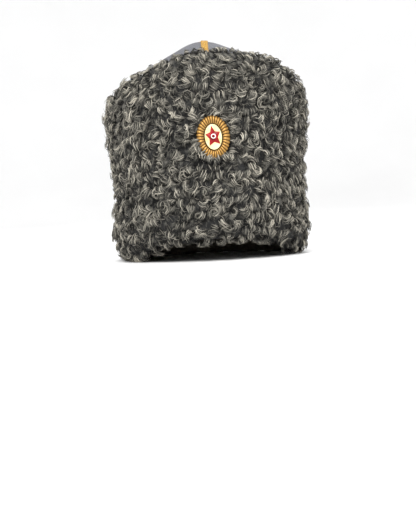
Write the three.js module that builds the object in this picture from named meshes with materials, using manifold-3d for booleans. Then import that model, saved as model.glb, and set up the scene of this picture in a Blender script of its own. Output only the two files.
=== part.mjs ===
// Grey karakul dress hat: a hollow wall of curled lamb pelt, a domed cloth crown crossed by two
// gold braids, and an oval enamelled cockade whose two prongs pass through the wall.
// Millimetres, +Z up. The front faces -Y and the origin is the middle of the footprint.
import * as THREE from 'three';
import { mergeVertices } from 'three/addons/utils/BufferGeometryUtils.js';
import Module from 'manifold-3d';

const wasm = await Module();
wasm.setup();

// Outside of the wall, measured over the middle of the pile
const hatWidth = 205; // side to side where the wall is widest
const hatDepth = 232; // front to back at the rim
const frontHeight = 201.8; // top edge of the fur at the front, above the rim's rest plane
const backHeight = 181.5;
const leftHeight = 171.3; // at the wearer's right ear, on -X
const rightHeight = 172.5;
const leftFullness = 3.4; // how soon the top edge drops towards -X: small is square, large is round
const rightFullness = 0.76;
const backFullness = 1.1;
const rimArch = 18.3; // the front edge is lifted this much over the forehead
const rimArchStart = 0.25; // cosine of the bearing where the lift begins on -X
const rightArchStart = 0.05; // and on +X

// The head opening and the thickness of pelt, interlining and pile
const headWidth = 166;
const headDepth = 201;
const wallThickness = 13.5;
const ledgeDrop = 5; // the cloth sits this far below the fur's top edge
const lipWidth = 5; // fur between its crest and the cloth
const ledgeWidth = 7; // level strip that carries the cloth's edge
const fittedShare = 0.45; // the inside keeps to the head over this share of the height
const linedShare = 0.9; // above this share the inside stays as wide as it is there

// Curls of the pile: rows of locks that stand out of the wall
const lockRows = 9;
const locksAround = 32;
const lockRelief = 4;
const lockSpread = 0.68; // radius of a lock, as a share of the pitch
const smallestLock = 0.65; // height of the lowest lock, as a share of lockRelief
const lockWander = 0.4; // how far a lock may lie from its place in the row, as a share of the pitch
const rimFade = 0.06; // the locks die out over this share of the height at the rim
const crestFade = 0.04; // and over this share at the crest
const pressedStart = 0.55; // locks are pressed flat out to this share of the cockade's size
const pressedEnd = 0.85; // and stand whole from this share on

// Crown
const crownHeight = 222.2;
const crownSag = 2.2; // the soft cloth hangs this much lower halfway out towards +X
const clothThickness = 2.4;
const seatGap = 0.3; // between pieces that touch
const tuckIn = 1.5; // between the cloth's edge and the fur lip

// Braids on the crown
const braidWidth = 7;
const braidThickness = 0.9;
const braidReach = 0.955; // share of the crown's radius where a braid ends under the fur

// Cockade
const cockadeWidth = 31.6;
const cockadeHeight = 41;
const cockadeCentre = 117.7; // above the rest plane
const cockadeOffset = 3; // from the middle of the front, towards +X
const cockadeSink = 2.2; // how deep the plate is pressed into the pile
const cockadeLean = 0.07; // radians that its top leans towards -X
const rayCount = 36;
const rayRelief = 0.55;
const plateEdge = 1.2; // thickness at the outer edge
const plateCrown = 2.9; // height of the swell between its edges
const wellWidth = 16.6;
const wellHeight = 24.6;
const wellFloor = 1;
const wellLip = 0.9; // width of the raised line round the well
const lipSwell = 0.75; // height of that line, as a share of the swell
const enamelThickness = 0.8;
const starWidth = 14.2;
const starHeight = 18.6;
const starRise = 0.4; // of the star's middle above the cockade's
const starLean = 0.08; // radians that it leans more than the cockade does
const starFlare = 0.25; // how much wider than the upper arms the lower two are spread
const starNotch = 0.53; // radius between two arms, as a share of the radius at their tips
const starEdge = 0.4;
const starRidge = 1;
const bossRadius = 2.3;
const bossHole = 1.5;
const bossThickness = 0.6;
const prongWidth = 2;
const prongThickness = 0.7;
const prongSpread = 9; // between the two prongs, one above the other
const prongFold = 6; // length bent flat inside the wall
const prongStandOff = 1.1; // from the inner face to the folded length
const prongClearance = 0.35;

// Facets
const wallColumns = 96;
const samplesPerLock = 3;
const innerRows = 8;
const crownColumns = 48;

// Outside of the wall from rim to crest. height is a share of the wall's local height, width a
// share of hatWidth, depth a share of hatDepth.
const wallSections = [
  { height: 0, width: 0.858, depth: 0.925 },
  { height: 0.035, width: 0.918, depth: 0.968 },
  { height: 0.1, width: 0.968, depth: 0.998 },
  { height: 0.22, width: 0.966, depth: 0.998 },
  { height: 0.38, width: 0.947, depth: 0.984 },
  { height: 0.55, width: 0.966, depth: 0.966 },
  { height: 0.72, width: 0.993, depth: 0.942 },
  { height: 0.85, width: 1, depth: 0.908 },
  { height: 0.93, width: 0.983, depth: 0.868 },
  { height: 0.975, width: 0.955, depth: 0.82 },
  { height: 1, width: 0.883, depth: 0.772 },
];

// Fall of the crown from its middle to its edge: radius and drop are shares
const crownFall = [
  { radius: 0, drop: 0 },
  { radius: 0.12, drop: 0.04 },
  { radius: 0.26, drop: 0.132 },
  { radius: 0.42, drop: 0.28 },
  { radius: 0.58, drop: 0.434 },
  { radius: 0.74, drop: 0.6 },
  { radius: 0.88, drop: 0.79 },
  { radius: 1, drop: 1 },
];

// Value of one column of a table at a share, on a smooth curve through the rows
function readTable(table, key, column, share) {
  const last = table.length - 1;
  let row = table.findIndex((entry) => entry[key] >= share);
  row = Math.min(Math.max(row === -1 ? last : row, 1), last);
  const slope = (i) => {
    const low = table[Math.max(i - 1, 0)];
    const high = table[Math.min(i + 1, last)];
    return (high[column] - low[column]) / (high[key] - low[key]);
  };
  const start = table[row - 1];
  const end = table[row];
  const span = end[key] - start[key];
  const t = (share - start[key]) / span;
  const rise = t * t * (3 - 2 * t);
  return start[column] + (end[column] - start[column]) * rise
    + span * (slope(row - 1) * (t * t * t - 2 * t * t + t) + slope(row) * (t * t * t - t * t));
}

const mix = (a, b, t) => a + (b - a) * t;
const smoothStep = THREE.MathUtils.smoothstep;

// Bearings turn from the front (-Y) towards +X. Height of the rim's underside:
function rimLift(bearing) {
  const start = Math.sin(bearing) > 0 ? rightArchStart : rimArchStart;
  return rimArch * smoothStep(Math.cos(bearing), start, 1);
}

// Height of the fur's crest: highest in front, lower behind, lowest over the ears
function crestHeight(bearing) {
  const facing = Math.cos(bearing) ** 2;
  const forward = Math.cos(bearing) > 0;
  const side = Math.sin(bearing) < 0 ? leftHeight : rightHeight;
  const frontFullness = Math.sin(bearing) < 0 ? leftFullness : rightFullness;
  const fullness = (forward ? frontFullness : backFullness) ** 2;
  const arch = (facing * (1 + fullness)) / (facing + fullness);
  return mix(side, forward ? frontHeight : backHeight, arch);
}

// Half sizes of the wall's outside and inside at a share of its height
function outerHalf(share) {
  return {
    x: (hatWidth / 2) * readTable(wallSections, 'height', 'width', share),
    y: (hatDepth / 2) * readTable(wallSections, 'height', 'depth', share),
  };
}

const crestHalf = outerHalf(1);
const ledgeHalf = { x: crestHalf.x - lipWidth, y: crestHalf.y - lipWidth };

function innerHalf(share) {
  const outer = outerHalf(Math.min(share, linedShare));
  const free = smoothStep(share, 0, fittedShare);
  return {
    x: mix(headWidth / 2, outer.x - wallThickness, free),
    y: mix(headDepth / 2, outer.y - wallThickness, free),
  };
}

function wallPoint(half, bearing, height) {
  return new THREE.Vector3(half.x * Math.sin(bearing), -half.y * Math.cos(bearing), height);
}

function heightAt(bearing, share) {
  return mix(rimLift(bearing), crestHeight(bearing), share);
}

// A repeatable number from 0 to 1 for a lock
function scatter(row, column, salt) {
  const wave = Math.sin(row * 127.1 + column * 311.7 + salt * 74.7) * 43758.5453;
  return wave - Math.floor(wave);
}

// How far the locks stand out at a place: the highest of the rounded bumps near it
function lockHeight(bearing, share) {
  const place = {
    row: share * lockRows - 0.5,
    column: (bearing / (2 * Math.PI)) * locksAround,
  };
  let best = 0;
  for (let row = Math.floor(place.row) - 1; row <= Math.floor(place.row) + 2; row += 1) {
    for (let step = -2; step <= 2; step += 1) {
      const stagger = 0.5 * Math.abs(row % 2);
      const column = Math.round(place.column - stagger) + step;
      const wrapped = (column + locksAround) % locksAround;
      const centre = {
        row: row + lockWander * (scatter(row, wrapped, 1) - 0.5),
        column: column + stagger + lockWander * (scatter(row, wrapped, 2) - 0.5),
      };
      const distance = Math.hypot(place.row - centre.row, place.column - centre.column) / lockSpread;
      const size = mix(smallestLock, 1, scatter(row, wrapped, 3));
      best = Math.max(best, size * (1 - distance * distance));
    }
  }
  return lockRelief * best;
}

// The frame of the cockade: where it sits on the wall, and the way it faces
const cockadeShare = (cockadeCentre - rimLift(0)) / (crestHeight(0) - rimLift(0));
const cockadeBearing = Math.asin(cockadeOffset / outerHalf(cockadeShare).x);
const cockadeSeat = wallPoint(outerHalf(cockadeShare), cockadeBearing, cockadeCentre);

function cockadeFrame() {
  const step = 0.04;
  const above = wallPoint(outerHalf(cockadeShare + step), cockadeBearing,
    heightAt(cockadeBearing, cockadeShare + step));
  const below = wallPoint(outerHalf(cockadeShare - step), cockadeBearing,
    heightAt(cockadeBearing, cockadeShare - step));
  const up = above.sub(below).normalize();
  const half = outerHalf(cockadeShare);
  const across = new THREE.Vector3(
    half.x * Math.cos(cockadeBearing), half.y * Math.sin(cockadeBearing), 0,
  ).normalize();
  const out = new THREE.Vector3().crossVectors(across, up).normalize();
  const seat = cockadeSeat.clone().addScaledVector(out, -cockadeSink);
  return new THREE.Matrix4().makeBasis(across, new THREE.Vector3().crossVectors(out, across), out)
    .multiply(new THREE.Matrix4().makeRotationZ(cockadeLean))
    .setPosition(seat);
}

// Skin over rings of points. Each ring has as many points, or one, which closes the end there.
// With around set, the last ring joins the first, as on a tyre.
function skin(rings, around = false) {
  const positions = [];
  const triangle = (...corners) => corners.forEach((p) => positions.push(p.x, p.y, p.z));
  const count = Math.max(...rings.map((ring) => ring.length));
  const spans = around ? rings.length : rings.length - 1;
  for (let i = 0; i < spans; i += 1) {
    const low = rings[i];
    const high = rings[(i + 1) % rings.length];
    for (let j = 0; j < count; j += 1) {
      const next = (j + 1) % count;
      if (low.length > 1) triangle(low[j], low[next], high[high.length > 1 ? next : 0]);
      if (high.length > 1) triangle(low[low.length > 1 ? j : 0], high[next], high[j]);
    }
  }
  const geometry = new THREE.BufferGeometry();
  geometry.setAttribute('position', new THREE.Float32BufferAttribute(positions, 3));
  return mergeVertices(geometry, 1e-4);
}

// A ring of points from a function of a turn from 0 to 1
function ringOf(count, point) {
  return Array.from({ length: count }, (_, i) => point(i / count));
}

function toSolid(geometry) {
  const bare = geometry.index ? geometry.clone() : mergeVertices(geometry, 1e-4);
  return new wasm.Manifold(new wasm.Mesh({
    numProp: 3,
    vertProperties: new Float32Array(bare.attributes.position.array),
    triVerts: new Uint32Array(bare.index.array),
  }));
}

function toGeometry(solid) {
  const mesh = solid.getMesh();
  const geometry = new THREE.BufferGeometry();
  geometry.setAttribute('position', new THREE.BufferAttribute(mesh.vertProperties, 3));
  geometry.setIndex(new THREE.BufferAttribute(mesh.triVerts, 1));
  return geometry;
}

// A plain box between two corners, with position only
function slab(low, high) {
  const size = new THREE.Vector3().subVectors(high, low);
  const box = new THREE.BoxGeometry(size.x, size.y, size.z);
  box.translate((low.x + high.x) / 2, (low.y + high.y) / 2, (low.z + high.z) / 2);
  box.deleteAttribute('normal');
  box.deleteAttribute('uv');
  return mergeVertices(box, 1e-4);
}

// An oval plate between two levels
function ovalPlate(width, height, bottom, top, count = 48) {
  const ring = (level) => ringOf(count, (turn) => new THREE.Vector3(
    (width / 2) * Math.cos(turn * 2 * Math.PI), (height / 2) * Math.sin(turn * 2 * Math.PI), level,
  ));
  const middle = (level) => [new THREE.Vector3(0, 0, level)];
  return skin([middle(bottom), ring(bottom), ring(top), middle(top)]);
}

// The prongs as boxes: straight shanks into the wall, and lengths folded flat behind it
function prongBoxes(margin, depth) {
  const half = prongWidth / 2 + margin;
  const thick = prongThickness / 2 + margin;
  return [1, -1].map((side) => {
    const middle = (side * prongSpread) / 2;
    return {
      shank: slab(new THREE.Vector3(-half, middle - thick, -depth),
        new THREE.Vector3(half, middle + thick, wellFloor / 2)),
      fold: slab(
        new THREE.Vector3(-half, Math.min(middle, middle + side * prongFold), -depth),
        new THREE.Vector3(half, Math.max(middle, middle + side * prongFold), -depth + prongThickness),
      ),
    };
  });
}

// Depth of the folded lengths behind the plate's back
function prongDepth() {
  const outer = outerHalf(cockadeShare);
  const inner = innerHalf(cockadeShare);
  return outer.y - inner.y - cockadeSink + prongStandOff + prongThickness;
}

function karakulWall() {
  const pressed = (point) => {
    const reach = Math.hypot((point.x - cockadeSeat.x) / cockadeWidth,
      (point.z - cockadeSeat.z) / cockadeHeight);
    return smoothStep(reach, pressedStart, pressedEnd);
  };
  const turn = (t) => t * 2 * Math.PI;
  const outerRows = lockRows * samplesPerLock;
  const outside = Array.from({ length: outerRows + 1 }, (_, i) => {
    const share = i / outerRows;
    const half = outerHalf(share);
    const fade = smoothStep(share, 0, rimFade) * smoothStep(1 - share, 0, crestFade);
    return ringOf(wallColumns, (t) => {
      const bearing = turn(t);
      const point = wallPoint(half, bearing, heightAt(bearing, share));
      const relief = lockHeight(bearing, share) * fade * pressed(point);
      const out = new THREE.Vector3(Math.sin(bearing) / half.x, -Math.cos(bearing) / half.y, 0);
      return point.addScaledVector(out.normalize(), relief);
    });
  });
  const ledge = ringOf(wallColumns, (t) => wallPoint(ledgeHalf, turn(t),
    crestHeight(turn(t)) - ledgeDrop));
  const inside = Array.from({ length: innerRows + 1 }, (_, i) => {
    const share = 1 - i / innerRows;
    return ringOf(wallColumns, (t) => {
      const bearing = turn(t);
      const top = crestHeight(bearing) - ledgeDrop;
      const half = share === 1
        ? { x: ledgeHalf.x - ledgeWidth, y: ledgeHalf.y - ledgeWidth }
        : innerHalf(share);
      return wallPoint(half, bearing, mix(rimLift(bearing), top, share));
    });
  });
  let solid = toSolid(skin([...outside, ledge, ...inside], true));
  const frame = cockadeFrame();
  const cut = (geometry) => {
    solid = solid.subtract(toSolid(geometry.applyMatrix4(frame)));
  };
  cut(ovalPlate(cockadeWidth + 2 * seatGap, cockadeHeight + 2 * seatGap, -seatGap, 3 * plateCrown));
  prongBoxes(prongClearance, wallThickness + 3 * prongStandOff).forEach(({ shank }) => cut(shank));
  return toGeometry(solid);
}

// A point of the crown's outside: reach runs from 0 at the middle to 1 at the edge
function crownPoint(bearing, reach, inset = 0) {
  const edge = crestHeight(bearing) - ledgeDrop + seatGap;
  const top = crownHeight - inset;
  const half = {
    x: (ledgeHalf.x - tuckIn - inset) * reach,
    y: (ledgeHalf.y - tuckIn - inset) * reach,
  };
  const sag = crownSag * Math.max(0, Math.sin(bearing)) * Math.sin(Math.PI * Math.min(reach, 1));
  return wallPoint(half, bearing,
    mix(top, edge, readTable(crownFall, 'radius', 'drop', reach)) - sag);
}

// The point of the crown's outside above a place in plan
function crownOver(x, y) {
  const share = { x: x / (ledgeHalf.x - tuckIn), y: y / (ledgeHalf.y - tuckIn) };
  return crownPoint(Math.atan2(share.x, -share.y), Math.hypot(share.x, share.y));
}

function crownCloth() {
  const reaches = crownFall.map((row) => row.radius);
  const shell = (reach, inset) => (reach === 0
    ? [crownPoint(0, 0, inset)]
    : ringOf(crownColumns, (t) => crownPoint(t * 2 * Math.PI, reach, inset)));
  const outside = reaches.map((reach) => shell(reach, 0)).reverse();
  const inside = reaches.map((reach) => shell(reach, clothThickness));
  return skin([...inside, ...outside]);
}

// The lengthwise braid is lifted over the other out to this share of the crown's radius
const crossingReach = (braidWidth / 2 + 3 * seatGap) / (ledgeHalf.y - tuckIn);
const liftEnd = 3.5 * crossingReach; // from here on it lies on the cloth
const overCrossing = braidThickness + 2.5 * seatGap;

// A flat strip laid over the crown along one bearing and its opposite, level across at the
// height of the cloth's highest point under it
function braid(bearing, lift) {
  const stations = [];
  const rows = crownFall.map((row) => row.radius);
  for (const side of [0, Math.PI]) {
    const reaches = [crossingReach, 2 * crossingReach,
      ...rows.filter((r) => r > 2.3 * crossingReach && r < braidReach), braidReach];
    const path = reaches.map((reach) => ({ reach, bearing: bearing + side }));
    stations.push(...(side ? path : path.reverse()));
    if (!side) stations.push({ reach: 0, bearing });
  }
  const points = stations.map((s) => crownPoint(s.bearing, s.reach));
  const across = new THREE.Vector3(Math.cos(bearing), Math.sin(bearing), 0);
  const rings = points.map((point, i) => {
    const before = points[Math.max(i - 1, 0)];
    const after = points[Math.min(i + 1, points.length - 1)];
    const along = new THREE.Vector3().subVectors(after, before).normalize();
    const out = new THREE.Vector3().crossVectors(along, across).normalize();
    if (out.z < 0) out.negate();
    const rest = [-1, 1].map((side) => point.clone().addScaledVector(across, (side * braidWidth) / 2))
      .map((edge) => crownOver(edge.x, edge.y).z - point.z);
    const rise = lift(stations[i].reach) + Math.max(0, ...rest);
    const corner = (side, level) => point.clone()
      .addScaledVector(across, (side * braidWidth) / 2).addScaledVector(out, level);
    return [corner(-1, rise), corner(-1, rise + braidThickness),
      corner(1, rise + braidThickness), corner(1, rise)];
  });
  const middle = (ring) => [ring.reduce((sum, p) => sum.add(p), new THREE.Vector3())
    .divideScalar(ring.length)];
  return skin([middle(rings[0]), ...rings, middle(rings.at(-1))]);
}

// Half size of an oval in the direction of a turn
function ovalPoint(width, height, turn, level) {
  return new THREE.Vector3((width / 2) * Math.cos(turn), (height / 2) * Math.sin(turn), level);
}

// Stamped plate: a swelling ring of rays round a well, with the two prongs soldered to its back
function cockadePlate() {
  const columns = rayCount * 2;
  const rayRings = [
    { reach: 0, swell: 0.3, fluting: 0 },
    { reach: 0.06, swell: 0.55, fluting: 0.5 },
    { reach: 0.4, swell: 1, fluting: 1 },
    { reach: 0.75, swell: 0.75, fluting: 1 },
    { reach: 1, swell: 0, fluting: 1 },
  ];
  const rim = { width: wellWidth + 2 * wellLip, height: wellHeight + 2 * wellLip };
  const ring = (width, height, level) => ringOf(columns,
    (t) => ovalPoint(width, height, t * 2 * Math.PI, level));
  const rays = rayRings.map((row) => Array.from({ length: columns }, (_, i) => {
    const valley = i % 2;
    const notch = row.reach === 1 && valley ? rayRelief : 0;
    const level = mix(plateEdge, plateCrown, row.swell) - valley * rayRelief * row.fluting;
    return ovalPoint(mix(rim.width, cockadeWidth, row.reach) - 2 * notch,
      mix(rim.height, cockadeHeight, row.reach) - 2 * notch, (i / columns) * 2 * Math.PI, level);
  })).reverse();
  const back = Array.from({ length: columns }, (_, i) => {
    const notch = i % 2 ? rayRelief : 0;
    return ovalPoint(cockadeWidth - 2 * notch, cockadeHeight - 2 * notch,
      (i / columns) * 2 * Math.PI, 0);
  });
  const lipTop = mix(plateEdge, plateCrown, lipSwell);
  let solid = toSolid(skin([
    [new THREE.Vector3(0, 0, 0)],
    back,
    ...rays,
    ring(wellWidth + 1.5 * wellLip, wellHeight + 1.5 * wellLip, lipTop),
    ring(wellWidth + 0.5 * wellLip, wellHeight + 0.5 * wellLip, lipTop),
    ring(wellWidth, wellHeight, wellFloor),
    [new THREE.Vector3(0, 0, wellFloor)],
  ]));
  prongBoxes(0, prongDepth()).forEach(({ shank, fold }) => {
    solid = solid.add(toSolid(shank)).add(toSolid(fold));
  });
  return toGeometry(solid);
}

const enamelBase = wellFloor + seatGap;
const starBase = enamelBase + enamelThickness + seatGap;
const bossBase = starBase + starRidge + seatGap;

function cockadeEnamel() {
  return ovalPlate(wellWidth - 2 * seatGap, wellHeight - 2 * seatGap,
    enamelBase, enamelBase + enamelThickness, 40);
}

// Five-pointed star with ridged arms, cut flat in the middle for the boss
function cockadeStar() {
  const tip = {
    x: starWidth / (2 * Math.sin(0.4 * Math.PI)),
    y: starHeight / (1 + Math.cos(0.2 * Math.PI)),
  };
  const outline = (scale, level) => ringOf(10, (t) => {
    const length = scale * (Math.round(t * 10) % 2 ? starNotch : 1);
    const turn = t * 2 * Math.PI;
    const spread = 1 + starFlare * Math.max(0, -Math.cos(turn));
    const x = -length * tip.x * spread * Math.sin(turn);
    const y = length * tip.y * Math.cos(turn);
    return new THREE.Vector3(
      x * Math.cos(starLean) - y * Math.sin(starLean),
      starRise + x * Math.sin(starLean) + y * Math.cos(starLean), level,
    );
  });
  const flat = (bossRadius + seatGap) / (tip.y * starNotch);
  return skin([
    [new THREE.Vector3(0, starRise, starBase)],
    outline(1, starBase),
    outline(1, starBase + starEdge),
    outline(flat, starBase + starRidge),
    [new THREE.Vector3(0, starRise, starBase + starRidge)],
  ]);
}

// Small plain ring in the middle of the star
function cockadeBoss() {
  const ring = (radius, level) => ringOf(20, (t) => new THREE.Vector3(
    radius * Math.cos(t * 2 * Math.PI), starRise + radius * Math.sin(t * 2 * Math.PI), level,
  ));
  const top = bossBase + bossThickness;
  return skin([ring(bossRadius, bossBase), ring(bossRadius, top), ring(bossHole, top),
    ring(bossHole, bossBase)], true);
}

const finishes = {
  pile: { color: 0x6e6c66, roughness: 0.85, metalness: 0 },
  cloth: { color: 0x74767c, roughness: 0.9, metalness: 0 },
  gold: { color: 0xd9a441, roughness: 0.45, metalness: 0.6 },
  brass: { color: 0xd29a45, roughness: 0.35, metalness: 0.9 },
  ivory: { color: 0xf6f0d8, roughness: 0.2, metalness: 0 },
  red: { color: 0xa61520, roughness: 0.2, metalness: 0 },
  white: { color: 0xf2f2f0, roughness: 0.25, metalness: 0 },
};

function piece(name, geometry, finish) {
  const mesh = new THREE.Mesh(geometry, new THREE.MeshStandardMaterial(finishes[finish]));
  mesh.name = name;
  return mesh;
}

const hat = new THREE.Group();
hat.add(piece('karakul_wall', karakulWall(), 'pile'));
hat.add(piece('crown_cloth', crownCloth(), 'cloth'));
hat.add(piece('braid_crosswise', braid(Math.PI / 2, () => seatGap), 'gold'));
hat.add(piece('braid_lengthwise', braid(0, (reach) => mix(overCrossing, seatGap,
  smoothStep(reach, crossingReach, liftEnd))), 'gold'));

const cockade = new THREE.Group();
cockade.applyMatrix4(cockadeFrame());
cockade.add(piece('cockade_plate', cockadePlate(), 'brass'));
cockade.add(piece('cockade_enamel', cockadeEnamel(), 'ivory'));
cockade.add(piece('cockade_star', cockadeStar(), 'red'));
cockade.add(piece('cockade_boss', cockadeBoss(), 'white'));
hat.add(cockade);

// Moves the middle of the footprint to the origin
hat.updateMatrixWorld(true);
const extent = new THREE.Box3().setFromObject(hat, true);
const centre = extent.getCenter(new THREE.Vector3());
hat.position.set(-centre.x, -centre.y, -extent.min.z);
hat.updateMatrixWorld(true);

export default hat;
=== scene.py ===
import math

import bpy
import numpy as np
from mathutils import Matrix, Vector


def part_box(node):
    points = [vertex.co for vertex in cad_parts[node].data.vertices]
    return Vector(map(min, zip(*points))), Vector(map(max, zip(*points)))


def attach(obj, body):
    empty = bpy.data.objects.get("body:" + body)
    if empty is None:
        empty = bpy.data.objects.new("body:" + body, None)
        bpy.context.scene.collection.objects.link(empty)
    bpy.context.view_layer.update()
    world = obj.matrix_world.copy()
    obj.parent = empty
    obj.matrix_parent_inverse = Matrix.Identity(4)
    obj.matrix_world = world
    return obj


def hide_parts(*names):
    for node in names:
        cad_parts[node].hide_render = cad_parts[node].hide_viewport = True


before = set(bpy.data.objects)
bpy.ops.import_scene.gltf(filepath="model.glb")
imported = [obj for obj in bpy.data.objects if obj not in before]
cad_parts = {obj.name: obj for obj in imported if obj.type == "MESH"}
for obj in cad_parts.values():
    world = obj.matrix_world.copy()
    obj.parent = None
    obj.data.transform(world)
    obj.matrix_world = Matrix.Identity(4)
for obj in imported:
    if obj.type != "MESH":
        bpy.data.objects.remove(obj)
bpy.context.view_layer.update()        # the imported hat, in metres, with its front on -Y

mm = 0.001
fullTurn = 2 * math.pi
dice = np.random.default_rng(23)

# Every shape below is worked out in millimetres round the hat's upright axis, which stands in
# the middle of the cloth crown. A bearing runs from the front (-Y) towards +X.
crownLow, crownHigh = (np.array(corner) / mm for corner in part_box("crown_cloth"))
wallLow, wallHigh = (np.array(corner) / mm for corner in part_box("karakul_wall"))
axisPlace = np.array([(crownLow[0] + crownHigh[0]) / 2, (crownLow[1] + crownHigh[1]) / 2, 0.0])
crownHalf = (crownHigh - crownLow)[:2] / 2
print("frame loaded, crown", (2 * crownHalf).round(1), "mm across")


def smooth(value, low, high):
    # 3t^2 - 2t^3 of the share t of the way from low to high
    t = np.clip((value - low) / (high - low), 0, 1)
    return t * t * (3 - 2 * t)


def blendOf(a, b, t):
    # The share t of the way from a to b
    return a + (b - a) * t


def unit(vectors):
    # Each vector divided by its length
    return vectors / np.maximum(np.linalg.norm(vectors, axis=-1, keepdims=True), 1e-9)


def readTable(rows, column, share):
    # Cubic curve through the rows: between two rows, their values and the slopes through
    # their neighbours set the curve
    keys = np.array([row[0] for row in rows])
    values = np.array([row[column] for row in rows])
    last = len(keys) - 1
    low = np.maximum(np.arange(last + 1) - 1, 0)
    high = np.minimum(np.arange(last + 1) + 1, last)
    slopes = (values[high] - values[low]) / (keys[high] - keys[low])
    place = np.clip(np.searchsorted(keys, share), 1, last)
    span = keys[place] - keys[place - 1]
    t = (share - keys[place - 1]) / span
    return (blendOf(values[place - 1], values[place], t * t * (3 - 2 * t))
            + span * (slopes[place - 1] * (t**3 - 2 * t * t + t) + slopes[place] * (t**3 - t * t)))


def meshOf(name, points, faces, materials, attributes=None, soft=True, faceMaterials=None):
    # points in millimetres round the hat's axis, faces a list of arrays of corner numbers
    mesh = bpy.data.meshes.new(name)
    points = np.asarray(points, float).reshape(-1, 3) + axisPlace
    sizes = np.concatenate([np.full(len(part), part.shape[1]) for part in faces])
    corners = np.concatenate([part.ravel() for part in faces])
    mesh.vertices.add(len(points))
    mesh.vertices.foreach_set("co", (points * mm).astype(np.float32).ravel())
    mesh.loops.add(len(corners))
    mesh.loops.foreach_set("vertex_index", corners.astype(np.int32))
    mesh.polygons.add(len(sizes))
    starts = np.concatenate([[0], np.cumsum(sizes)[:-1]])
    mesh.polygons.foreach_set("loop_start", starts.astype(np.int32))
    for material in materials:
        mesh.materials.append(material)
    if faceMaterials is not None:
        mesh.polygons.foreach_set("material_index", faceMaterials.astype(np.int32))
    mesh.update(calc_edges=True)
    mesh.polygons.foreach_set("use_smooth", np.full(len(sizes), soft))
    for key, values in (attributes or {}).items():
        mesh.attributes.new(key, "FLOAT", "POINT").data.foreach_set(
            "value", np.asarray(values, np.float32).ravel())
    piece = bpy.data.objects.new(name, mesh)
    bpy.context.collection.objects.link(piece)
    return piece


def gridFaces(rows, columns, rowsMeet=False, columnsMeet=True):
    # Quads between neighbouring rows and columns of a grid of points
    r = np.arange(rows if rowsMeet else rows - 1)[:, None]
    c = np.arange(columns if columnsMeet else columns - 1)[None, :]
    here = r * columns + c
    side = r * columns + (c + 1) % columns
    below = (r + 1) % rows * columns + c
    across = (r + 1) % rows * columns + (c + 1) % columns
    return np.stack([here, below, across, side], axis=-1).reshape(-1, 4)


camera = {
    "distance": 1200.0, "height": 58.3, "azimuth": -1.5,   # mm and degrees, from the hat's axis
    "aimLeft": 0.25, "aimDown": 2.95, "lean": 2.8,         # degrees
    "lens": 79.88, "sensor": 36.0,                         # mm; the sensor's longer side is upright
    "nearest": 0.05, "farthest": 60.0,                     # metres
}


def placeCamera():
    # On a circle round the hat's axis, turned by the aim and then rolled by the lean
    c = camera
    azimuth = math.radians(c["azimuth"])
    across, back = c["distance"] * math.sin(azimuth), c["distance"] * math.cos(azimuth)
    eye = axisPlace + [across, -back, c["height"]]
    pose = (Matrix.Translation(eye * mm)
            @ Matrix.Rotation(azimuth + math.radians(c["aimLeft"]), 4, "Z")
            @ Matrix.Rotation(math.pi / 2 - math.radians(c["aimDown"]), 4, "X")
            @ Matrix.Rotation(-math.radians(c["lean"]), 4, "Z"))
    data = bpy.data.cameras.new("photo_camera")
    data.lens = c["lens"]
    data.sensor_width = c["sensor"]
    data.clip_start = c["nearest"]
    data.clip_end = c["farthest"]
    eyepiece = bpy.data.objects.new("photo_camera", data)
    eyepiece.matrix_world = pose
    bpy.context.collection.objects.link(eyepiece)
    bpy.context.scene.camera = eyepiece


# Soft lights: where each stands, what it looks at and how wide it is, in metres; power in watts
studio = {
    "skyStrength": 0.83,
    "flatRadius": 2.4, "bowl": (1.4, 2.4),   # metres: flat floor, then the bowl's width and height
    "flatRings": 12, "bowlRings": 14, "floorSides": 72,
    "lights": {
        "key": {"at": (-0.25, -1.5, 1.15), "towards": (0, 0, 0.1), "size": 0.9, "power": 38},
        "fill": {"at": (1.7, -1.2, 0.9), "towards": (0, 0, 0.1), "size": 1.4, "power": 9},
        "top": {"at": (0.2, -0.2, 2.2), "towards": (0, 0, 0.2), "size": 1.2, "power": 11},
        "behind": {"at": (0.4, 1.9, 1.3), "towards": (0, 0, 0.1), "size": 1.3, "power": 9},
    },
}


def setStudio():
    world = bpy.data.worlds.new("studio_sky")
    world.use_nodes = True
    sky = world.node_tree.nodes["Background"]
    sky.inputs["Color"].default_value = (1, 1, 1, 1)
    sky.inputs["Strength"].default_value = studio["skyStrength"]
    bpy.context.scene.world = world
    bpy.context.scene.view_settings.view_transform = "Standard"
    for name, light in studio["lights"].items():
        data = bpy.data.lights.new(name + "_light", "AREA")
        data.shape = "DISK"
        data.size = light["size"]
        data.energy = light["power"]
        lamp = bpy.data.objects.new(name + "_light", data)
        away = Vector(light["at"]) - Vector(light["towards"])
        turn = away.to_track_quat("Z", "Y").to_matrix().to_4x4()
        lamp.matrix_world = Matrix.Translation(light["at"]) @ turn
        bpy.context.collection.objects.link(lamp)
    makeFloor()


def makeFloor():
    # Round floor that rises into a bowl far from the hat: radius and height of its rings, in metres
    quarter = np.linspace(0, math.pi / 2, studio["bowlRings"])[1:]
    flat = studio["flatRadius"] * np.linspace(0, 1, studio["flatRings"])[1:] ** 2
    width, height = studio["bowl"]
    radii = np.concatenate([flat, studio["flatRadius"] + width * np.sin(quarter)])[:, None]
    heights = np.concatenate([0 * flat, height * (1 - np.cos(quarter))])[:, None]
    angles = np.linspace(0, fullTurn, studio["floorSides"], endpoint=False)[None, :]
    rings = np.broadcast_arrays(radii * np.cos(angles), radii * np.sin(angles), heights)
    points, faces, _ = closedRings(np.stack(rings, axis=-1) / mm)
    floor = meshOf("studio_floor", points, faces[:2], [floorFinish()])   # open at its outer edge


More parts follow.
